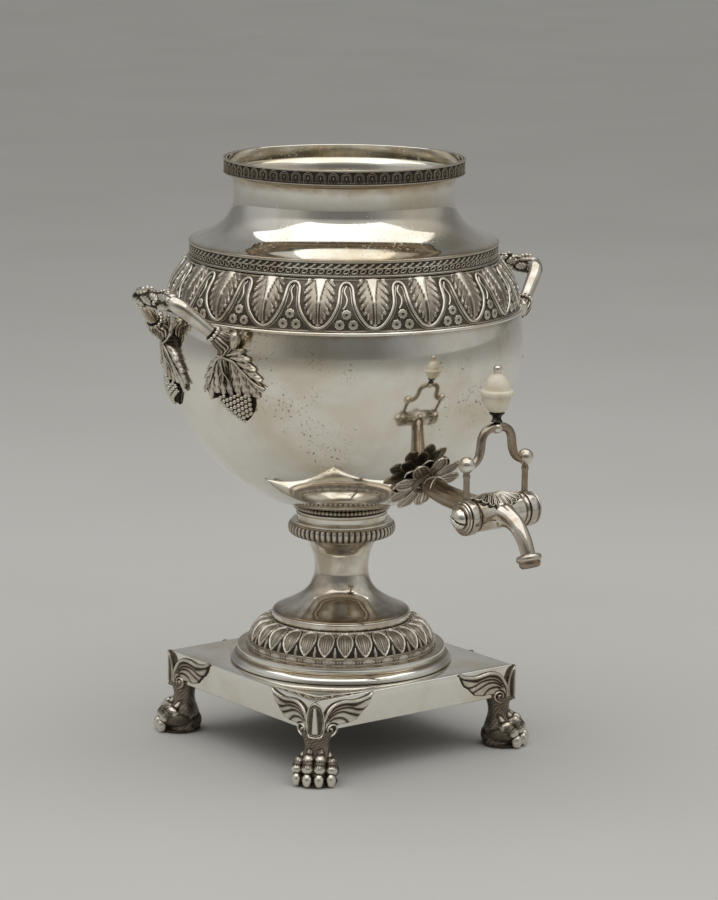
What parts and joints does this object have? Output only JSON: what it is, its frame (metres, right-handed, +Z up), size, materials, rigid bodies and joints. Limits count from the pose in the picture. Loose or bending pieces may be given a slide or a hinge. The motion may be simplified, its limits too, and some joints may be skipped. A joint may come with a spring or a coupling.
{
  "type": "tea urn",
  "caption": "Vase-shaped silver tea urn on a square plinth with paw feet, vine handles and a lever tap with a turned knob.",
  "frame": {"origin": "on the floor, under the middle of the space that the urn covers (the urn's own axis stands at y = +40.4 mm, because the tap reaches out at one side)", "axes": "+Z up along the urn's axis, the tap points to -Y and the handles stand at -X and +X"},
  "size_m": [0.3036, 0.3114, 0.38],
  "materials": {
    "polished_silver": "polished",
    "chased_silver": "satin",
    "dark_metal": "satin",
    "ivory": "satin"
  },
  "bodies": {
    "urn": {"rim_band": "polished_silver", "neck_shell": "polished_silver", "shoulder_band": "chased_silver", "leaf_band": "chased_silver", "leaf_band_wire": "polished_silver", "bowl": "polished_silver", "bowl_beading": "chased_silver", "collar_ring": "polished_silver", "gadroon_ring": "chased_silver", "stem": "polished_silver", "stem_ring": "polished_silver", "leaf_dome": "chased_silver", "bead_reel_band": "chased_silver", "stepped_base_ring": "polished_silver", "plinth": "polished_silver", "foot_front_left": "chased_silver", "foot_front_right": "chased_silver", "foot_back_right": "chased_silver", "foot_back_left": "chased_silver", "handle_right": "polished_silver", "handle_right_vine": "chased_silver", "handle_right_front_collar": "chased_silver", "handle_right_front_leaf": "chased_silver", "handle_right_back_collar": "chased_silver", "handle_right_back_leaf": "chased_silver", "handle_left": "polished_silver", "handle_left_vine": "chased_silver", "handle_left_front_collar": "chased_silver", "handle_left_front_leaf": "chased_silver", "handle_left_back_collar": "chased_silver", "handle_left_back_leaf": "chased_silver", "tap_rosette": "chased_silver", "tap_body": "polished_silver", "tap_shell": "chased_silver"},
    "tap_key": {"tap_plug": "polished_silver", "tap_yoke": "polished_silver", "tap_washer_left": "polished_silver", "tap_washer_right": "polished_silver", "plug_screw": "polished_silver", "knob_ferrule": "dark_metal", "tap_knob": "ivory", "knob_finial": "polished_silver"}
  },
  "joints": [
    {"name": "tap_turn", "type": "hinge", "parent": "urn", "child": "tap_key", "pos_m": [0, -0.11521, 0.17703], "axis": [1, 0, 0], "range_deg": [0, 90]}
  ]
}
